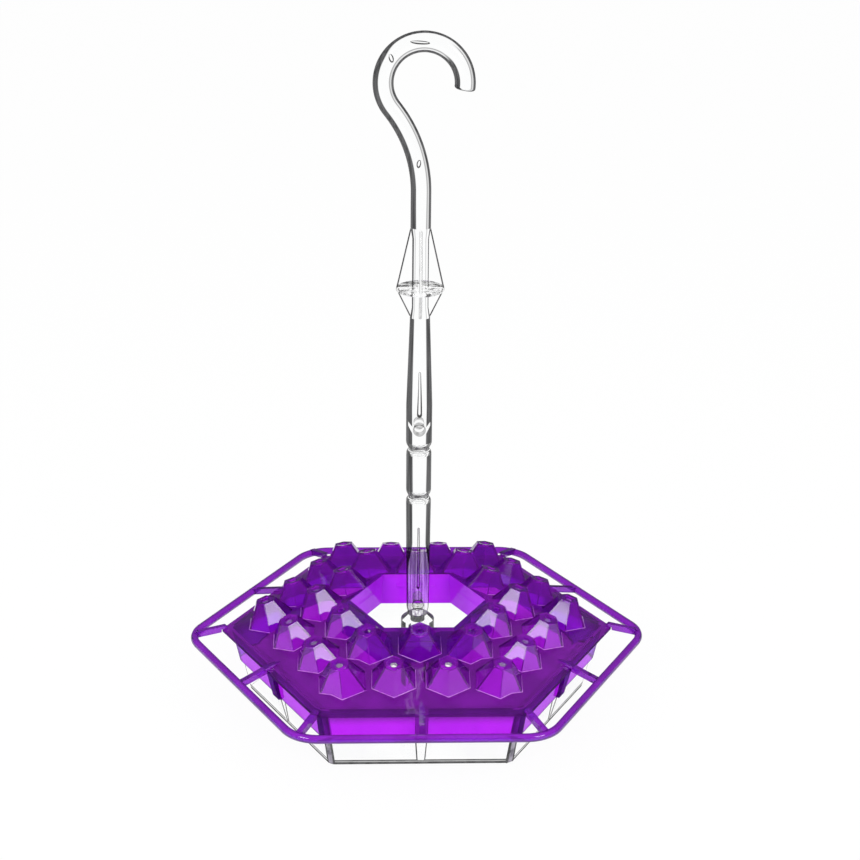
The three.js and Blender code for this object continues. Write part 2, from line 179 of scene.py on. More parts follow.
def stemPlastic(name, look):
    material, tree = newTree(name)
    normal = Wire.add(tree, "ShaderNodeNewGeometry", output="Normal")
    across, _, lean = split(tree, normal)
    facing = aroundStem(tree, normal, look)
    near = 1 - Wire.add(tree, "ShaderNodeNewGeometry", output="Backfacing")
    aside, _, height = split(tree, objectPlace(tree))
    upright = (1 - abs(lean)).between(*look["upright"])
    start = look["thinStart"] - upright * (look["thinStart"] - look["bandStart"]) + across * look["lopsided"]
    if "lobe" in look:  # two slanting lobes open the painted bands beside a cross hole, a painted stand-in for the hole seen through the stem
        lobe = look["lobe"]
        slant = (abs(aside) - lobe["from"]) * lobe["slope"]
        off = abs(height - lobe["height"] - slant)
        start = start + off.between(lobe["half"] / 2, lobe["half"], lobe["open"], 0)
    if "fade" in look:  # the painted bands thin out towards the lid
        start = start + height.between(*look["fade"], look["thinStart"] - look["bandStart"], 0)
    band = (facing - start).between(0, look["bandSoft"])
    lineAt, lineHalf = look["line"]
    line = abs(facing - lineAt).between(lineHalf / 2, lineHalf, look["lineDepth"], 0)
    if "double" in look:  # on the right and underneath, a painted line and outline stand for the painted band
        double = look["double"]
        thin = (facing - look["thinStart"]).between(0, look["bandSoft"])
        thin = thin.atLeast(line)
        thin = thin.atLeast(upright * double["fill"] * (facing - lineAt).between(0, lineHalf))
        turned = (across - lean * double["under"]).between(-double["turn"], double["turn"])
        band = band + turned * (thin - band)
    else:
        band = band.atLeast(line)
    if "ring" in look:  # a painted dark ring at the mouth of a cross hole, for the shade along its edge
        ring = look["ring"]
        above = height - ring["height"]
        away = (aside * aside + above * above) ** .5
        mouth = abs(away - ring["radius"]).between(ring["half"] / 2, ring["half"], ring["depth"], 0)
        band = band.atLeast(mouth)
    streaks = noise(tree, look["streakScale"], stretch=look["streakStretch"])
    dark = mixColour(tree, streaks.between(*look["streakSpan"]), look["dark"], look["streak"])
    clear = look["clear"]
    if "veil" in look:  # painted light: pale upright streaks where the lid shines into the stem
        clear = mixColour(tree, streaks.between(*look["veilSpan"]), clear, look["veil"])
    shader = Wire.add(tree, "ShaderNodeBsdfPrincipled", {}, {
        "Base Color": mixColour(tree, band * near, clear, dark),
        "Roughness": noise(tree, look["waveScale"]).between(*look["waveSpan"], *look["rough"]),
        "IOR": look["index"],
        "Transmission Weight": look["seeThrough"],
        "Coat Weight": look["coat"],
    })
    finishTree(tree, shader)
    return material


# Plain see-through plastic, with a little flow in its tint and its polish
def tintedPlastic(name, look):
    material, tree = newTree(name)
    flow = noise(tree, look["flowScale"])
    colour = mixColour(tree, flow.between(*look["flow"]), look["deep"], look["tint"])
    _, depth, height = split(tree, objectPlace(tree))
    if "shade" in look:  # painted shade: the wall darkens towards the brim, under the brim's shade
        colour = mixColour(tree, height.between(*look["shadeSpan"]), colour, look["shade"])
    if "turned" in look:  # painted shade: violet is painted deeper where it turns away from the eye, and a clear slab's painted dark fades there
        colour = mixColour(tree, turnedAway(tree).between(*look["turnedSpan"]), colour, look["turned"])
    if "through" in look:  # painted: a far edge seen from behind, past the walls in front of it, loses its painted dark
        behind = Wire.add(tree, "ShaderNodeNewGeometry", output="Backfacing")
        colour = mixColour(tree, behind, colour, look["through"])
    if "inner" in look:  # painted shade: a bore is grey near its mouths and clears up away from them
        colour = mixColour(tree, abs(depth).between(*look["innerSpan"]), look["inner"], colour)
    rough = noise(tree, look["roughScale"], detail=2).between(*look["roughSpan"], *look["rough"])
    bump = Wire.add(tree, "ShaderNodeBump", {}, {
        "Strength": look["bump"], "Distance": look["bumpDepth"], "Height": flow})
    shader = Wire.add(tree, "ShaderNodeBsdfPrincipled", {}, {
        "Base Color": colour,
        "Roughness": rough,
        "IOR": look["index"],
        "Transmission Weight": look["seeThrough"],
        "Coat Weight": look["coat"],
        "Normal": bump,
    })
    finishTree(tree, shader)
    return material


# thin clear walls shift nothing that is seen through them, so they only gloss
clearWallLook = {
    "tint": (.998, .999, .999, 1),
    "deep": (.985, .988, .988, 1),
    "flow": (.35, .65),
    "rough": (.01, .03),
    "flowScale": 60,
    "roughScale": 140,
    "roughSpan": (.3, .7),
    "bump": .06,
    "bumpDepth": .2 * mm,
    "index": 1,
    "seeThrough": 1,
    "coat": .15,
}
clearNearLook = {**clearWallLook, "through": (.99, .99, .99, 1)}
# painted shade: dark copies of the clear plastic for the lines that its edges, corners and foot show
clearEdgeLook = {**clearNearLook, "tint": (.02, .02, .021, 1), "deep": (.004, .004, .0042, 1),
                 "flowScale": 260, "coat": 0}
clearPostLook = {**clearNearLook, "tint": (.16, .14, .19, 1), "deep": (.02, .018, .026, 1), "flowScale": 220}
clearSlabLook = {**clearNearLook, "tint": (.12, .12, .125, 1), "deep": (.02, .02, .021, 1), "flowScale": 200,
                 "turned": (.98, .98, .98, 1), "turnedSpan": (.2, .45)}
clearFaintLook = {**clearWallLook, "tint": (.8, .8, .8, 1), "deep": (.6, .6, .6, 1), "coat": 0}
# painted shade: near black for walls that show dark in the clear rods
clearDarkLook = {**clearWallLook, "tint": (.012, .012, .012, 1), "deep": (.004, .004, .004, 1), "coat": 0}
# painted shade: grey for the top of the basin's rim
clearRimLook = {**clearWallLook, "tint": (.7, .7, .71, 1), "deep": (.45, .45, .46, 1), "flowScale": 120}
# painted shade: grey for the walls of a cross hole
clearBoreLook = {**clearWallLook, "tint": (.5, .5, .5, 1), "deep": (.14, .14, .14, 1), "flowScale": 400,
                 "coat": 0}
clearMouthLook = {**clearBoreLook, "inner": (.97, .97, .97, 1), "innerSpan": (1.2 * mm, 2.2 * mm)}
# the disc's tint swings from near black to clear with the flow
clearDiscLook = {**clearWallLook, "tint": (.97, .97, .97, 1), "deep": (.03, .03, .03, 1), "flow": (.38, .5),
                 "flowScale": 420, "bump": .6, "bumpDepth": .5 * mm, "index": 1.49, "coat": 0}
clearJointLook = {**clearWallLook, "bump": 0, "coat": 0}
violetWallLook = {
    "tint": (.57, .014, .985, 1),
    "deep": (.52, .011, .93, 1),
    "flow": (.35, .65),
    "rough": (.015, .05),
    "flowScale": 55,
    "roughScale": 130,
    "roughSpan": (.3, .7),
    "bump": .05,
    "bumpDepth": .2 * mm,
    "index": 1.49,
    "seeThrough": .9,
    "coat": 0,
}
# painted shade: the outer skirt darkens under the brim
violetSkirtLook = {**violetWallLook, "shade": (.14, .01, .27, 1), "shadeSpan": (24 * mm, 31.5 * mm),
                   "index": 1.25}
violetHoleLook = {**violetWallLook, "tint": (.58, .024, 1, 1), "deep": (.53, .02, .97, 1), "index": 1.2,
                  "seeThrough": .3}
# painted shade: darker copies of the violet for buttress sides, rim, roof and ports
violetPostLook = {**violetWallLook, "tint": (.22, .009, .43, 1), "deep": (.16, .007, .34, 1), "index": 1,
                  "seeThrough": .8, "coat": .1}
violetRimLook = {**violetWallLook, "tint": (.15, .008, .28, 1), "deep": (.11, .005, .21, 1), "index": 1,
                 "seeThrough": .75, "coat": .1}
# painted highlight: a pale violet for the fillets at the ports' feet, where they catch the lamps
violetFootGlintLook = {**violetWallLook, "tint": (.76, .36, .93, 1), "deep": (.55, .14, .78, 1), "flowScale": 400,
                  "seeThrough": .5}
violetRoofLook = {**violetWallLook, "tint": (.23, .012, .4, 1), "deep": (.18, .009, .32, 1),
                  "seeThrough": .75}
# painted shade: the ports and the perch bar are painted darker where they turn away
violetPortLook = {**violetWallLook, "tint": (.4, .011, .7, 1), "deep": (.33, .009, .58, 1), "seeThrough": .8,
                  "turned": (.13, .004, .25, 1), "turnedSpan": (.3, .75)}
violetBarLook = {**violetWallLook, "tint": (.35, .03, .68, 1), "deep": (.29, .02, .56, 1), "seeThrough": .7,
                 "turned": (.1, .006, .2, 1), "turnedSpan": (.2, .75)}

# painted shade: every stem plastic below paints dark bands where its walls turn away
clearStem = stemPlastic("clearStem", stemLook)
footLook = {**stemLook, "dark": (.008, .008, .008, 1), "streak": (.14, .14, .14, 1), "bandStart": .22,
            "thinStart": .34, "line": (.16, .05), "streakScale": 500}
clearFoot = stemPlastic("clearFoot", footLook)
clearCore = stemPlastic("clearCore", {**stemLook, "bandStart": .44, "line": (.26, .05)})
clearHub = stemPlastic("clearHub", {**stemLook, "bandStart": .3, "thinStart": .42, "lopsided": 0})
finLook = {**stemLook, "bandStart": .04, "upright": (-1, -.5), "lopsided": 0}
clearFin = stemPlastic("clearFin", finLook)
clearFinPale = stemPlastic("clearFinPale", {**finLook, "dark": (.35, .35, .35, 1), "streak": (.6, .6, .6, 1)})
clearWall = tintedPlastic("clearWall", clearWallLook)
clearEdge = tintedPlastic("clearEdge", clearEdgeLook)
clearPost = tintedPlastic("clearPost", clearPostLook)
clearSlab = tintedPlastic("clearSlab", clearSlabLook)
clearFaint = tintedPlastic("clearFaint", clearFaintLook)
clearDark = tintedPlastic("clearDark", clearDarkLook)
clearRim = tintedPlastic("clearRim", clearRimLook)
clearBore = tintedPlastic("clearBore", clearBoreLook)
clearMouth = tintedPlastic("clearMouth", clearMouthLook)
clearDisc = tintedPlastic("clearDisc", clearDiscLook)
clearJoint = tintedPlastic("clearJoint", clearJointLook)
violetSkirt = tintedPlastic("violetSkirt", violetSkirtLook)
violetHole = tintedPlastic("violetHole", violetHoleLook)
violetPost = tintedPlastic("violetPost", violetPostLook)
violetRoof = tintedPlastic("violetRoof", violetRoofLook)
violetPort = tintedPlastic("violetPort", violetPortLook)
violetBar = tintedPlastic("violetBar", violetBarLook)
violetRim = tintedPlastic("violetRim", violetRimLook)
violetFootGlint = tintedPlastic("violetFootGlint", violetFootGlintLook)
print("plastics mixed")


# Modelling steps shared by the pieces
weld = .002 * mm  # points closer than this become one


def pick(piece):
    bpy.ops.object.select_all(action="DESELECT")
    piece.select_set(True)
    bpy.context.view_layer.objects.active = piece


def applied(piece, kind, **settings):
    pick(piece)
    modifier = piece.modifiers.new(kind.title(), kind)
    for key, value in settings.items():
        setattr(modifier, key, value)
    bpy.ops.object.modifier_apply(modifier=modifier.name)
    return piece


def combined(piece, tools, operation):
    for tool in tools:
        applied(piece, "BOOLEAN", object=tool, operation=operation, solver="EXACT")
        bpy.data.objects.remove(tool)
    return piece


def joined(tools):
    # cutters that lie apart work as one
    pick(tools[0])
    for tool in tools[1:]:
        tool.select_set(True)
    bpy.ops.object.join()
    return tools[0]


def tidied(piece, smoothAngle):
    pick(piece)
    bpy.ops.object.mode_set(mode="EDIT")
    bpy.ops.mesh.select_all(action="SELECT")
    bpy.ops.mesh.remove_doubles(threshold=weld)
    bpy.ops.mesh.normals_make_consistent(inside=False)
    bpy.ops.object.mode_set(mode="OBJECT")
    bpy.ops.object.transform_apply()
    bpy.ops.object.shade_smooth_by_angle(angle=math.radians(smoothAngle))
    return piece


def attached(piece, body, node):
    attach(piece, body)
    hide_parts(node)
    print("made", piece.name, "with", len(piece.data.polygons), "faces")


def coated(piece, materials, materialOf=None):
    # every face takes the material that its place and its normal call for, or else the first
    piece.data.materials.clear()
    for material in materials:
        piece.data.materials.append(material)
    for face in piece.data.polygons:
        face.material_index = materials.index(materialOf(face.center, face.normal)) if materialOf else 0


def turnedUp(name, sides, stations):
    # a disc drawn up through (height, radius) stations; left in edit mode with its last face selected
    bpy.ops.object.select_all(action="DESELECT")
    height, radius = stations[0]
    bpy.ops.mesh.primitive_circle_add(vertices=sides, radius=radius, fill_type="NGON",
                                      location=(0, 0, height))
    piece = bpy.context.object
    piece.name = name
    bpy.ops.object.mode_set(mode="EDIT")
    for nextHeight, nextRadius in stations[1:]:
        rise = (0, 0, nextHeight - height)
        bpy.ops.mesh.extrude_region_move(TRANSFORM_OT_translate={"value": rise})
        if nextRadius != radius:
            grow = nextRadius / radius
            bpy.ops.transform.resize(value=(grow, grow, 1))
        height, radius = nextHeight, nextRadius
    return piece


# Stem sections, each with a plug below and a socket above
stem = {
    "sides": 72,
    "neck": 4.9 * mm,
    "plug": 3.2 * mm,
    "plugLength": 3 * mm,
    "plugChamfer": .6 * mm,
    "taper": 4.2 * mm,
    "shoulder": 1.8 * mm,
    "gap": .3 * mm,
    "steps": 8,
    "smooth": 32,
    "lowerFoot": 5.45 * mm,
    "radius": 6 * mm,
    "touch": .05 * mm,
    "level": .9,
    "fluteFloor": .95,
    "boreTilt": .3,
}


def sectionFoot(neckHeight, radius):
    # the plug, and the foot that swells out of the neck in an S
    bottom = neckHeight - stem["plugLength"]
    stations = [
        (bottom, stem["plug"] - stem["plugChamfer"]),
        (bottom + stem["plugChamfer"], stem["plug"]),
        (neckHeight, stem["plug"]),
    ]
    for step in range(stem["steps"] + 1):
        t = step / stem["steps"]
        rise = stem["taper"] * (1.5 * t - 1.5 * t ** 2 + t ** 3)
        swell = 3 * t ** 2 - 2 * t ** 3
        stations.append((neckHeight + rise, stem["neck"] + (radius - stem["neck"]) * swell))
    return stations


def sectionTop(topHeight, radius):
    # the round shoulder, and the socket for the next plug
    stations = []
    for step in range(stem["steps"] + 1):
        t = step / stem["steps"]
        drop = stem["shoulder"] * (1 - t) ** 2
        stations.append((topHeight - drop, radius - (radius - stem["neck"]) * t ** 2))
    socket = stem["plug"] + stem["gap"]
    floor = topHeight - stem["plugLength"] - 2 * stem["gap"]
    return stations + [(topHeight, socket), (floor, socket)]


def fluteCutter(flute, surface):
    # an upright disc pulled into a long drop and pushed into the front of the stem, narrower inside
    bpy.ops.object.select_all(action="DESELECT")
    low = flute["height"] + flute["width"] / 2
    bpy.ops.mesh.primitive_circle_add(vertices=flute["sides"], radius=flute["width"] / 2, fill_type="NGON",
                                      location=(0, -surface - flute["margin"], low),
                                      rotation=(math.pi / 2, 0, 0))
    cutter = bpy.context.object
    bpy.ops.object.transform_apply()
    bpy.ops.object.mode_set(mode="EDIT")
    bpy.ops.mesh.select_mode(type="VERT")
    bpy.ops.mesh.select_all(action="DESELECT")
    bpy.ops.object.mode_set(mode="OBJECT")
    for vertex in cutter.data.vertices:
        vertex.select = vertex.co.z > low - stem["touch"]
    bpy.ops.object.mode_set(mode="EDIT")
    reach = flute["length"] - flute["width"] / 2 - flute["topWidth"] / 2
    narrow = flute["topWidth"] / flute["width"]
    bpy.ops.transform.resize(value=(narrow, 1, narrow))
    bpy.ops.transform.translate(value=(0, 0, reach))
    bpy.ops.mesh.select_all(action="SELECT")
    inward = (0, flute["margin"] + flute["depth"], 0)
    bpy.ops.mesh.extrude_region_move(TRANSFORM_OT_translate={"value": inward})
    shrink = [1 - 2 * flute["draft"] / across for across in (flute["width"], flute["length"])]
    middle = (0, -surface + flute["depth"], flute["height"] + flute["length"] / 2)
    bpy.ops.transform.resize(value=(shrink[0], 1, shrink[1]), center_override=middle)
    bpy.ops.mesh.select_all(action="SELECT")
    bpy.ops.mesh.normals_make_consistent(inside=False)
    bpy.ops.object.mode_set(mode="OBJECT")
    return cutter


def crossCutter(hole):
    bpy.ops.object.select_all(action="DESELECT")
    bpy.ops.mesh.primitive_cylinder_add(vertices=hole["sides"], radius=hole["radius"], depth=hole["reach"],
                                        location=(0, 0, hole["height"]), rotation=(math.pi / 2, 0, 0))
    return bpy.context.object


def neckOf(node):
    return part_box(node)[0].z + stem["plugLength"]


def topOf(node):
    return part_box(node)[1].z


def plugMaterial(place, neckHeight):
    # the end of the plug shows as a thin line, the rest of the joint does not show
    low = neckHeight - stem["plugLength"]
    atEnd = low + stem["touch"] < place.z < low + stem["plugChamfer"] - stem["touch"]
    return clearFaint if atEnd else clearJoint


def inSocket(place, normal, topHeight):
    inside = place.xy.length < stem["plug"] + stem["gap"] + stem["touch"]
    onTop = place.z > topHeight - stem["touch"] and normal.z > stem["level"]
    return onTop or inside and place.z > topHeight - stem["plugLength"] - 3 * stem["gap"]


def onShoulder(place, topHeight):
    return place.z > topHeight - stem["shoulder"] + stem["touch"]


def onFluteWall(place, normal, flute, surface):
    # the slanting wall of a flute, painted dark as the outline it shows
    beside = abs(place.x) < flute["width"] / 2 + stem["touch"] and place.y < 0
    along = -stem["touch"] < place.z - flute["height"] < flute["length"] + stem["touch"]
    inside = place.xy.length < surface - stem["touch"]
    return beside and along and inside and -normal.y < stem["fluteFloor"]


def inCrossHole(place, normal, hole):
    away = math.hypot(place.x, place.z - hole["height"])
    return away < hole["radius"] + stem["touch"] and abs(normal.y) < stem["boreTilt"]


lowerNeck = neckOf("lower_rod")
lowerFlute = {"width": 2.2 * mm, "topWidth": 1.2 * mm, "length": 33.2 * mm, "depth": 1.5 * mm,
              "margin": .3 * mm, "draft": .7 * mm, "sides": 24, "height": lowerNeck + 15.1 * mm}
lowerHole = {"radius": 2.5 * mm, "reach": 24 * mm, "sides": 40, "height": lowerNeck + 6.4 * mm}
# the painted dark ring round the mouth of each cross hole
holeRing = {"radius": 2.75 * mm, "half": .45 * mm, "depth": .75}
lowerLook = {**stemLook, "thinStart": .58, "fade": (62 * mm, 82 * mm),
             "ring": {**holeRing, "height": lowerHole["height"]}}
lensLook = {**lowerLook, "seeThrough": .8, "veil": (.35, .3, .4, 1), "veilSpan": (.4, .6)}
clearLower = stemPlastic("clearLower", lowerLook)
clearLens = stemPlastic("clearLens", lensLook)
lensTop = lowerNeck + 36 * mm  # below it the lid's light is painted into the front of the lower section


def lowerMaterial(place, normal):
    if place.z < lowerNeck + stem["touch"]:
        return plugMaterial(place, lowerNeck)
    if inSocket(place, normal, topOf("lower_rod")):
        return clearJoint
    if inCrossHole(place, normal, lowerHole):
        return clearBore
    if onFluteWall(place, normal, lowerFlute, stem["radius"]):
        return clearDark
    if onShoulder(place, topOf("lower_rod")):
        return clearFoot
    return clearLens if place.z < lensTop and place.y < 0 else clearLower


def lowerStem():
    taper = (lensTop - lowerNeck) / (topOf("lower_rod") - lowerNeck)
    stations = sectionFoot(lowerNeck, stem["lowerFoot"])
    stations.append((lensTop, stem["lowerFoot"] + (stem["radius"] - stem["lowerFoot"]) * taper))
    stations += sectionTop(topOf("lower_rod"), stem["radius"])
    piece = turnedUp("lowerStem", stem["sides"], stations)
    bpy.ops.object.mode_set(mode="OBJECT")
    tidied(piece, stem["smooth"])
    cutters = [crossCutter(lowerHole), fluteCutter(lowerFlute, stem["radius"])]
    combined(piece, [joined(cutters)], "DIFFERENCE")
    tidied(piece, stem["smooth"])
    materials = [clearLower, clearLens, clearFoot, clearJoint, clearFaint, clearBore, clearDark]
    coated(piece, materials, lowerMaterial)
    attached(piece, "stem_foot", "lower_rod")


middleNeck = neckOf("middle_rod")


def middleMaterial(place, normal):
    if place.z < middleNeck + stem["touch"]:
        return plugMaterial(place, middleNeck)
    if inSocket(place, normal, topOf("middle_rod")):
        return clearJoint
    narrow = place.z < middleNeck + stem["taper"] or onShoulder(place, topOf("middle_rod"))
    return clearFoot if narrow else clearStem


def middleStem():
    stations = sectionFoot(middleNeck, stem["radius"]) + sectionTop(topOf("middle_rod"), stem["radius"])
    piece = turnedUp("middleStem", stem["sides"], stations)
    bpy.ops.object.mode_set(mode="OBJECT")
    tidied(piece, stem["smooth"])
    coated(piece, [clearStem, clearFoot, clearJoint, clearFaint], middleMaterial)
    attached(piece, "stem_middle", "middle_rod")


# Hook section: shank, finned diamond with a disc, and the bent rod
hookNeck = neckOf("hook_rod")
hook = {
    "shank": 6.15 * mm,
    "shankStraight": hookNeck + 23 * mm,
    "finFoot": hookNeck + 65.7 * mm,
    "disc": hookNeck + 79.2 * mm,
    "finTop": hookNeck + 108.2 * mm,
    "coreTaper": 5 * mm,
    "bendStart": hookNeck + 124.5 * mm,
    "rod": 4.65 * mm,
    "core": 3.9 * mm,
    "finSpan": 11.2 * mm,
    "finThickness": 1.6 * mm,
    "finRound": .78 * mm,
    "finSteps": 4,
    "finSharp": 50,
    "finFlat": .995,
    "discThickness": 2.2 * mm,
    "discSteps": 8,
    "bendRadius": 60 * mm,
    "hookRadius": 18.1 * mm,
    "offset": 1 * mm,
    "tipAngle": -9,
    "tipRound": 1.1 * mm,
    "tipSteps": 5,
    "bendSteps": 24,
    "hookSteps": 72,
}
shankFlute = {"width": 2.9 * mm, "topWidth": 1.6 * mm, "length": 22.8 * mm, "depth": 1.5 * mm,
              "margin": .3 * mm, "draft": .9 * mm, "sides": 24, "height": hookNeck + 17.9 * mm}
shankHole = {"radius": 2.5 * mm, "reach": 24 * mm, "sides": 40, "height": hookNeck + 11.6 * mm}
clearShank = stemPlastic("clearShank", {
    **stemLook,
    "lopsided": .015,
    "lobe": {"height": shankHole["height"] - .3 * mm, "from": 3.2 * mm, "slope": 1.4, "half": 1.7 * mm,
             "open": .3},
    "ring": {**holeRing, "height": shankHole["height"]},
})
clearHook = stemPlastic("clearHook", {
    **stemLook,
    "line": (.235, .055),
    "lineDepth": .8,
    "thinStart": .36,
    "double": {"fill": .5, "under": .8, "turn": .15},
})


# three shallow ovals in the front of the hook, their walls painted dark as outlines: (middle x, z), (width,
# height) and lean of each oval
marks = {
    "crown": {"middle": (-1.12 * mm, 320.04 * mm), "size": (9 * mm, 1.9 * mm), "lean": 4},
    "side": {"middle": (-13.67 * mm, 313.32 * mm), "size": (2.4 * mm, 4.6 * mm), "lean": -20},
    "rod": {"middle": (-1.14 * mm, 266.74 * mm), "size": (2.3 * mm, 4 * mm), "lean": 12},
}
markCut = {"sides": 28, "margin": .1 * mm, "depth": .8 * mm, "draft": .65 * mm, "floor": .93}


def markCutter(mark):
    # an oval disc pushed a little way into the front of the hook, narrower inside
    bpy.ops.object.select_all(action="DESELECT")
    x, z = mark["middle"]
    width, height = mark["size"]
    bpy.ops.mesh.primitive_circle_add(vertices=markCut["sides"], radius=.5, fill_type="NGON",
                                      rotation=(math.pi / 2, 0, 0))
    cutter = bpy.context.object
    bpy.ops.object.transform_apply()
    bpy.ops.object.mode_set(mode="EDIT")
    bpy.ops.mesh.select_all(action="SELECT")
    bpy.ops.transform.resize(value=(width, 1, height))
    bpy.ops.transform.translate(value=(0, -hook["rod"] - markCut["margin"], 0))
    inward = (0, markCut["margin"] + markCut["depth"], 0)
    bpy.ops.mesh.extrude_region_move(TRANSFORM_OT_translate={"value": inward})
    shrink = [1 - 2 * markCut["draft"] / across for across in mark["size"]]
    bpy.ops.transform.resize(value=(shrink[0], 1, shrink[1]))
    bpy.ops.mesh.select_all(action="SELECT")
    bpy.ops.mesh.normals_make_consistent(inside=False)
    bpy.ops.object.mode_set(mode="OBJECT")
    cutter.rotation_euler.y = math.radians(mark["lean"])
    cutter.location = (x, 0, z)
    pick(cutter)
    bpy.ops.object.transform_apply()
    return cutter


def inMark(place, normal):
    # the walls of a mark, just under the rod's surface, which take the painted dark
    near = any(math.hypot(place.x - mark["middle"][0], place.z - mark["middle"][1]) < max(mark["size"])
               for mark in marks.values())
    onWall = -normal.y < markCut["floor"] and rodDepth(place) > stem["touch"]
    return near and onWall and place.y < -hook["rod"] / 2


def finPlate(turn):
    # a bar split at the disc's height and widened there to a diamond
    bpy.ops.object.select_all(action="DESELECT")
    size = (2 * hook["rod"], hook["finThickness"], hook["finTop"] - hook["finFoot"])
    middle = (0, 0, (hook["finTop"] + hook["finFoot"]) / 2)
    bpy.ops.mesh.primitive_cube_add(size=1, scale=size, location=middle)
    fin = bpy.context.object
    bpy.ops.object.transform_apply()
    bpy.ops.object.mode_set(mode="EDIT")
    bpy.ops.mesh.select_all(action="SELECT")
    bpy.ops.mesh.bisect(plane_co=(0, 0, hook["disc"]), plane_no=(0, 0, 1))
    bpy.ops.transform.resize(value=(hook["finSpan"] / hook["rod"], 1, 1))
    bpy.ops.object.mode_set(mode="OBJECT")
    applied(fin, "BEVEL", width=hook["finRound"], segments=hook["finSteps"], limit_method="ANGLE",
            angle_limit=math.radians(hook["finSharp"]))
    fin.rotation_euler.z = turn
    pick(fin)
    bpy.ops.object.transform_apply()
    return fin


def finDisc():
    half = hook["discThickness"] / 2
    stations = []
    for step in range(hook["discSteps"] + 1):
        angle = math.pi * (step / hook["discSteps"] - .5)
        reach = hook["finSpan"] - half + half * math.cos(angle)
        stations.append((hook["disc"] + half * math.sin(angle), reach))
    piece = turnedUp("finDisc", stem["sides"], stations)
    bpy.ops.object.mode_set(mode="OBJECT")
    return tidied(piece, stem["smooth"])


hookBend = math.acos((hook["bendRadius"] + hook["offset"]) / (hook["bendRadius"] + hook["hookRadius"]))
hookHeight = hook["bendStart"] + (hook["bendRadius"] + hook["hookRadius"]) * math.sin(hookBend)


def rodDepth(place):
    # how far a point of the bent rod lies under its surface
    hookReach = math.hypot(place.x - hook["offset"], place.z - hookHeight) - hook["hookRadius"]
    bendReach = math.hypot(place.x + hook["bendRadius"], place.z - hook["bendStart"]) - hook["bendRadius"]
    return hook["rod"] - min(math.hypot(reach, place.y) for reach in (hookReach, bendReach))


def hookMaterial(place, normal):
    if place.z < hookNeck + stem["touch"]:
        return plugMaterial(place, hookNeck)
    if place.z < hookNeck + stem["taper"]:
        return clearFoot
    if inCrossHole(place, normal, shankHole):
        return clearMouth
    if onFluteWall(place, normal, shankFlute, hook["shank"]):
        return clearDark
    if place.z > hook["finTop"]:
        return clearDark if inMark(place, normal) else clearHook
    if place.z < hook["finFoot"]:
        return clearShank
    if place.xy.length < hook["rod"]:
        return clearCore
    if abs(place.z - hook["disc"]) < hook["discThickness"] / 2 + stem["touch"]:
        return clearDisc
    if max(abs(normal.x), abs(normal.y)) > hook["finFlat"]:
        return clearWall
    return clearFin if abs(place.x) > abs(place.y) else clearFinPale


def hookStem():
    stations = sectionFoot(hookNeck, hook["shank"])
    stations += [
        (hook["shankStraight"], hook["shank"]),
        (hook["finFoot"], hook["rod"]),
        (hook["finFoot"] + hook["coreTaper"], hook["core"]),
        (hook["finTop"] - hook["coreTaper"], hook["core"]),
        (hook["finTop"], hook["rod"]),
        (hook["bendStart"], hook["rod"]),
    ]
    piece = turnedUp("hookStem", stem["sides"], stations)
    bendMiddle = (-hook["bendRadius"], 0, hook["bendStart"])
    bpy.ops.mesh.spin(steps=hook["bendSteps"], angle=hookBend, center=bendMiddle, axis=(0, 1, 0))
    sweep = math.pi + hookBend - math.radians(hook["tipAngle"])
    hookMiddle = (hook["offset"], 0, hookHeight)
    bpy.ops.mesh.spin(steps=hook["hookSteps"], angle=-sweep, center=hookMiddle, axis=(0, 1, 0))
    bpy.ops.mesh.region_to_loop()
    bpy.ops.mesh.bevel(offset=hook["tipRound"], segments=hook["tipSteps"], affect="EDGES")
    bpy.ops.object.mode_set(mode="OBJECT")
    tidied(piece, stem["smooth"])
    fins = combined(finPlate(0), [finPlate(math.pi / 2), finDisc()], "UNION")
    combined(piece, [fins], "UNION")
    cutters = [crossCutter(shankHole), fluteCutter(shankFlute, hook["shank"])]
    combined(piece, [joined(cutters + [markCutter(mark) for mark in marks.values()])], "DIFFERENCE")
    tidied(piece, stem["smooth"])
    coated(piece, [clearShank, clearHook, clearFoot, clearCore, clearFin, clearFinPale, clearWall, clearDisc,
                   clearJoint, clearFaint, clearMouth, clearDark], hookMaterial)
    attached(piece, "stem_hook", "hook_rod")


lowerStem()
middleStem()
hookStem()


# Moulded shells: merged copies of the solids with their edges broken
shell = {
    "merge": .004 * mm,
    "flat": .6,  # degrees, as are the next two
    "sharp": 22,
    "smooth": 34,
    "cornerMargin": .1 * mm,
    "cornerSteps": 4,
}


def mergedCopy(node, name):
    piece = bpy.data.objects.new(name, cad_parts[node].data.copy())
    bpy.context.scene.collection.objects.link(piece)
    pick(piece)
    bpy.ops.mesh.customdata_custom_splitnormals_clear()
    bpy.ops.object.mode_set(mode="EDIT")
    bpy.ops.mesh.select_all(action="SELECT")
    bpy.ops.mesh.remove_doubles(threshold=shell["merge"])
    bpy.ops.mesh.dissolve_limited(angle_limit=math.radians(shell["flat"]))
    bpy.ops.object.mode_set(mode="OBJECT")
    return piece


def flatShaded(piece, smoothAngle):
    # broken edges shade smoothly into walls that stay flat
    pick(piece)
    bpy.ops.object.shade_smooth_by_angle(angle=math.radians(smoothAngle))
    applied(piece, "WEIGHTED_NORMAL", mode="FACE_AREA", weight=100, keep_sharp=True)


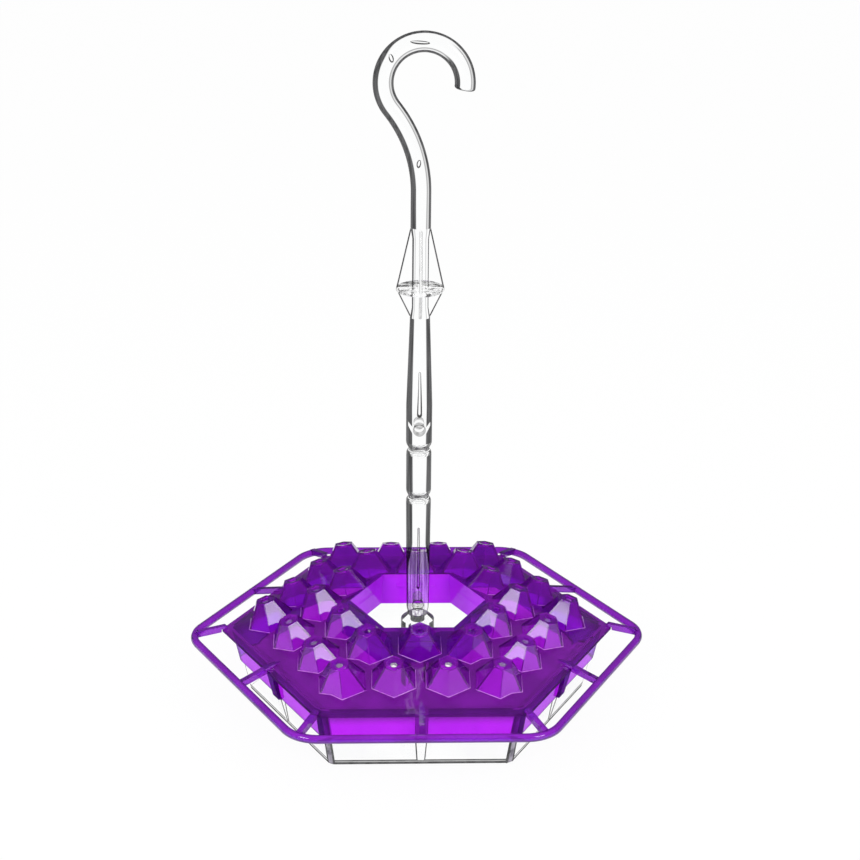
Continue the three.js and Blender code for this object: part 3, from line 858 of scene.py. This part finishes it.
def brokenEdges(piece, material, chosen, width, segments=2, clamp=True):
    # rounds the sharp edges that the rule picks by their two ends and two faces, and gives them a material
    mesh = piece.data
    sides = {edge.index: [] for edge in mesh.edges}
    shortest = {vertex.index: math.inf for vertex in mesh.vertices}
    for face in mesh.polygons:
        for corner in face.loop_indices:
            sides[mesh.loops[corner].edge_index].append(face)
    points = [vertex.co for vertex in mesh.vertices]
    for edge in mesh.edges:
        length = (points[edge.vertices[0]] - points[edge.vertices[1]]).length
        for end in edge.vertices:
            shortest[end] = min(shortest[end], length)
    weights = mesh.attributes.get("bevel_weight_edge")
    weights = weights or mesh.attributes.new("bevel_weight_edge", "FLOAT", "EDGE")
    count = 0
    for edge in mesh.edges:
        first, second = (points[end] for end in edge.vertices)
        faces = sides[edge.index]
        roomy = not clamp or min(shortest[end] for end in edge.vertices) > 2 * width
        sharp = len(faces) == 2 and faces[0].normal.angle(faces[1].normal) > math.radians(shell["sharp"])
        weights.data[edge.index].value = 1 if roomy and sharp and chosen(first, second, faces) else 0
        count += weights.data[edge.index].value > 0
    applied(piece, "BEVEL", width=width, segments=segments, limit_method="WEIGHT", use_clamp_overlap=clamp,
            material=list(mesh.materials).index(material))
    print(piece.name, "has", count, "edges rounded by", round(width / mm, 2), "mm")


def sideTurn(side):
    # the hexagons have a corner on +X and a side every sixth of a turn
    return math.radians(30 + 60 * side)


def hexPlace(point):
    # reach across the flats of the hexagon through a point, offset along that side, and the side's direction
    def along(side):
        turn = sideTurn(side)
        return point.x * math.cos(turn) + point.y * math.sin(turn)
    side = max(range(6), key=along)
    turn = sideTurn(side)
    way = Vector((-math.sin(turn), math.cos(turn), 0))
    return along(side), point.dot(way), way


def atCorner(point):
    reach, offset, _ = hexPlace(point)
    return reach * math.tan(math.pi / 6) - abs(offset) < shell["cornerMargin"]


# Clear basin with painted dark lines along its foot and its corners, which stand for the dark its edges show
# by refraction
basin = {
    "hub": 9 * mm,  # radius round the stem's socket
    "outer": 60 * mm,  # past it lies the outer wall
    "corner": 2.4 * mm,
    "edge": .3 * mm,
    "postEdge": 15,  # degrees from the corner to its painted dark sides
    "moatTop": 30 * mm,
    "level": .9,
    "upright": .5,
    "low": 1 * mm,
    "footLines": ((0, 1.5 * mm), (2.1 * mm, 2.8 * mm)),  # from and to which height each runs
    "ribHalf": 3 * mm,
}


def clearBasin():
    piece = mergedCopy("basin", "clearBasin")
    materials = [clearWall, clearPost, clearEdge, clearSlab, clearHub, clearRim]
    coated(piece, materials)
    slabTop = basin["footLines"][-1][-1]

    def isOuter(first, second):
        return min(hexPlace(point)[0] for point in (first, second)) > basin["outer"]

    def atOuterCorner(first, second, faces):
        steep = abs(first.z - second.z) > basin["low"]
        outward = all(face.normal.dot(face.center) > 0 for face in faces)
        return isOuter(first, second) and steep and outward and atCorner(first)

    def atFootOrRib(first, second, faces):
        foot = max(first.z, second.z) < basin["low"]
        rib = all(abs(hexPlace(point)[1]) < basin["ribHalf"] for point in (first, second))
        return isOuter(first, second) and (foot or rib)

    def basinMaterial(face, made):
        place = face.center
        if max(piece.data.vertices[corner].co.xy.length for corner in face.vertices) < basin["hub"]:
            return clearHub
        if made is clearPost:  # the rounded corner is painted darkest where it turns into the two walls
            turn = (math.degrees(math.atan2(face.normal.y, face.normal.x)) + 30) % 60 - 30
            return clearEdge if abs(turn) > basin["postEdge"] else clearPost
        # painted shade: the rim's top is greyed so that it shows
        if face.normal.z > basin["level"] and place.z > basin["moatTop"]:
            return clearRim
        upright = abs(face.normal.z) < basin["upright"] and face.normal.dot(place) > 0
        if made is clearEdge or not upright or place.z > slabTop or hexPlace(place)[0] < basin["outer"]:
            return made
        return clearEdge if any(low < place.z < high for low, high in basin["footLines"]) else clearSlab

    brokenEdges(piece, clearPost, atOuterCorner, basin["corner"], shell["cornerSteps"], clamp=False)
    brokenEdges(piece, clearEdge, atFootOrRib, basin["edge"], clamp=False)
    pick(piece)
    bpy.ops.object.mode_set(mode="EDIT")
    for height in [height for line in basin["footLines"] for height in line if height]:
        bpy.ops.mesh.select_all(action="SELECT")
        bpy.ops.mesh.bisect(plane_co=(0, 0, height), plane_no=(0, 0, 1))
    bpy.ops.object.mode_set(mode="OBJECT")
    for face in piece.data.polygons:
        face.material_index = materials.index(basinMaterial(face, materials[face.material_index]))
    flatShaded(piece, shell["smooth"])
    attached(piece, "tray", "basin")


# Violet lid: a hip roof with ports, an inner and an outer skirt, and a brim
lid = {
    "roofLean": 15.5,  # degrees, as is its margin
    "leanMargin": 2,
    "roofMargin": 2.5 * mm,
    "rim": 78.64 * mm,
    "brim": 83 * mm,
    "seat": 32.7 * mm,
    "corner": 4.2 * mm,
    "edge": .3 * mm,
    "seam": .21 * mm,
    "buttressHalf": 3.1 * mm,
    "inward": -.5,  # this and the next three bound the way a face points
    "square": .9,
    "level": .9,
    "slanted": .1,
    "steep": 8 * mm,
    "skirtReach": 60 * mm,
    "smallFace": 3e-6,  # square metres
    "webReach": 29.95 * mm,
    "webSize": (.9 * mm, 20 * mm, 5.8 * mm),
    "webRound": .18 * mm,
    "webHeight": 43.65 * mm,
    "webLean": 7.2,
}


def holeWeb(side):
    # a plate in the thickness of the hole's skirt, where a port's hollow would open it
    turn = sideTurn(side)
    bpy.ops.object.select_all(action="DESELECT")
    bpy.ops.mesh.primitive_cube_add(size=1)
    web = bpy.context.object
    bpy.ops.object.mode_set(mode="EDIT")
    bpy.ops.transform.resize(value=lid["webSize"])
    bpy.ops.mesh.bevel(offset=lid["webRound"], segments=1, affect="EDGES")
    bpy.ops.object.mode_set(mode="OBJECT")
    web.rotation_euler = (0, math.radians(lid["webLean"]), turn)
    web.location = (lid["webReach"] * math.cos(turn), lid["webReach"] * math.sin(turn), lid["webHeight"])
    pick(web)
    bpy.ops.object.transform_apply()
    return web


# painted shade: roof, ports, rim, buttress sides and skirt corners take darker copies of one violet
def lidMaterial(place, normal):
    reach, offset, way = hexPlace(place)
    roofHeight = lid["seat"] + (lid["rim"] - reach) * math.tan(math.radians(lid["roofLean"]))
    level = math.cos(math.radians(lid["roofLean"] + lid["leanMargin"]))
    if abs(normal.z) > level and place.z < roofHeight + lid["roofMargin"]:
        return violetRoof
    if reach > lid["brim"]:
        return violetRim
    if place.z > roofHeight:
        return violetPort
    if reach < lid["skirtReach"]:
        return violetHole
    if abs(offset) < lid["buttressHalf"] and normal.dot(place) > lid["inward"] * reach:
        return violetPost if abs(normal.dot(way)) > lid["square"] else violetRim
    return violetSkirt


def violetLid():
    piece = mergedCopy("port_lid", "violetLid")
    combined(piece, [joined([holeWeb(side) for side in range(6)])], "UNION")
    materials = [violetPort, violetRoof, violetHole, violetSkirt, violetPost, violetRim, violetFootGlint]
    coated(piece, materials, lidMaterial)

    def atSkirtCorner(first, second, faces):
        steep = abs(first.z - second.z) > lid["steep"]
        outward = all(face.normal.dot(face.center) > 0 for face in faces)
        return steep and outward and hexPlace(first)[0] > lid["skirtReach"] and atCorner(first)

    def atPortFoot(first, second, faces):
        facet, roof = sorted(faces, key=lambda face: face.normal.z)
        rises = (facet.center - first).dot(roof.normal) > 0
        outward = facet.normal.xy.dot(facet.center.xy) > 0
        return rises and outward and facet.normal.z > lid["slanted"] and roof.normal.z > lid["level"]

    def onTop(first, second, faces):
        return all(face.normal.z > lid["slanted"] and face.area > lid["smallFace"] for face in faces)

    # the skirt's rounded corners take the painted dark of the buttress sides
    brokenEdges(piece, violetPost, atSkirtCorner, lid["corner"], shell["cornerSteps"], clamp=False)
    # the fillets at the ports' feet take the painted highlight
    brokenEdges(piece, violetFootGlint, atPortFoot, lid["seam"])
    brokenEdges(piece, violetPort, onTop, lid["edge"])
    flatShaded(piece, shell["smooth"])
    attached(piece, "lid", "port_lid")


# Perch frame: its round bar shades smoothly
perch = {"smooth": 60}


def violetPerch():
    piece = mergedCopy("perch_frame", "violetPerch")
    flatShaded(piece, perch["smooth"])
    coated(piece, [violetBar])
    attached(piece, "lid", "perch_frame")


clearBasin()
violetLid()
violetPerch()


# Stage, light and camera
stage = {
    "floorSize": 14,
    "floorDrop": .2 * mm,
    "floorColour": (.95, .95, .95, 1),
    "seenWhite": .95,  # the rest of what the eye sees takes the shadow
    "glossWhite": .12,
    "worldDiffuse": .8,
    "glossyLow": .15,
    "glossyHigh": .12,
    "skyline": (.08, .4),
}


def plainlySeen(path):
    # 1 on rays that the eye follows, straight or through clear plastic
    seen = Wire(path.outputs["Is Camera Ray"]) + Wire(path.outputs["Is Transmission Ray"])
    return seen.atMost(1)


def paleFloor():
    bpy.ops.object.select_all(action="DESELECT")
    bpy.ops.mesh.primitive_plane_add(size=stage["floorSize"], location=(0, 0, -stage["floorDrop"]))
    floor = bpy.context.object
    floor.name = "paleFloor"
    material, tree = newTree("paleFloor")
    path = tree.nodes.new("ShaderNodeLightPath")
    seen = plainlySeen(path) * stage["seenWhite"]
    seen = seen + Wire(path.outputs["Is Glossy Ray"]) * stage["glossWhite"]
    diffuse = Wire.add(tree, "ShaderNodeBsdfDiffuse", {}, {"Color": stage["floorColour"]})
    white = Wire.add(tree, "ShaderNodeEmission", {}, {"Strength": 1})
    finishTree(tree, Wire.add(tree, "ShaderNodeMixShader", {}, {0: seen, 1: diffuse, 2: white}))
    floor.data.materials.append(material)


def whiteWorld():
    world = bpy.data.worlds.new("whiteWorld")
    bpy.context.scene.world = world
    world.use_nodes = True
    tree = world.node_tree
    tree.nodes.clear()
    path = tree.nodes.new("ShaderNodeLightPath")
    seen = plainlySeen(path)
    glossy = Wire(path.outputs["Is Glossy Ray"])
    way = Wire.add(tree, "ShaderNodeTexCoord", output="Generated")
    height = Wire.add(tree, "ShaderNodeSeparateXYZ", {}, {0: way}, 2)
    sweep = height.between(*stage["skyline"], stage["glossyLow"], stage["glossyHigh"])
    other = (1 - seen - glossy).atLeast(0) * stage["worldDiffuse"]
    strength = seen + glossy * sweep + other
    glow = Wire.add(tree, "ShaderNodeBackground", {}, {"Color": (1, 1, 1, 1), "Strength": strength})
    finishTree(tree, glow, output="ShaderNodeOutputWorld")


lamps = {
    "softRight": {"way": (.57, -.62, .54), "distance": 1.4, "size": (.5, .5), "glow": 8.5},
    "softLeft": {"way": (-.57, -.62, .54), "distance": 1.4, "size": (.5, .5), "glow": 8.5},
}
lampAim = Vector((0, 0, 50 * mm))


def softLamps():
    for name, lamp in lamps.items():
        data = bpy.data.lights.new(name, "AREA")
        data.shape = "RECTANGLE"
        data.size, data.size_y = lamp["size"]
        data.energy = math.pi * data.size * data.size_y * lamp["glow"]
        light = bpy.data.objects.new(name, data)
        bpy.context.scene.collection.objects.link(light)
        way = Vector(lamp["way"]).normalized()
        light.location = lampAim + way * lamp["distance"]
        light.rotation_euler = way.to_track_quat("Z", "Y").to_euler()
        light.visible_camera = False
        light.visible_transmission = False


view = {
    "target": Vector((5.2 * mm, 0, 138.1 * mm)),
    "distance": .8158,
    "pitch": 21.2,
    "yaw": -2.03,
    "roll": .62,
    "lens": 72,
    "sensor": 36,
}


def photoCamera():
    data = bpy.data.cameras.new("photoCamera")
    data.lens = view["lens"]
    data.sensor_width = view["sensor"]
    camera = bpy.data.objects.new("photoCamera", data)
    bpy.context.scene.collection.objects.link(camera)
    pitch = math.radians(view["pitch"])
    back = Vector((0, -math.cos(pitch), math.sin(pitch)))
    yaw = Matrix.Rotation(math.radians(view["yaw"]), 3, "Z")
    tilt = Matrix.Rotation(math.pi / 2 - pitch, 3, "X")
    roll = Matrix.Rotation(math.radians(view["roll"]), 3, "Z")
    place = yaw @ (view["target"] + back * view["distance"])
    camera.matrix_world = Matrix.Translation(place) @ (yaw @ tilt @ roll).to_4x4()
    bpy.context.scene.camera = camera


paleFloor()
whiteWorld()
softLamps()
photoCamera()
bpy.context.scene.view_settings.view_transform = "Standard"
print("stage, light and camera set")
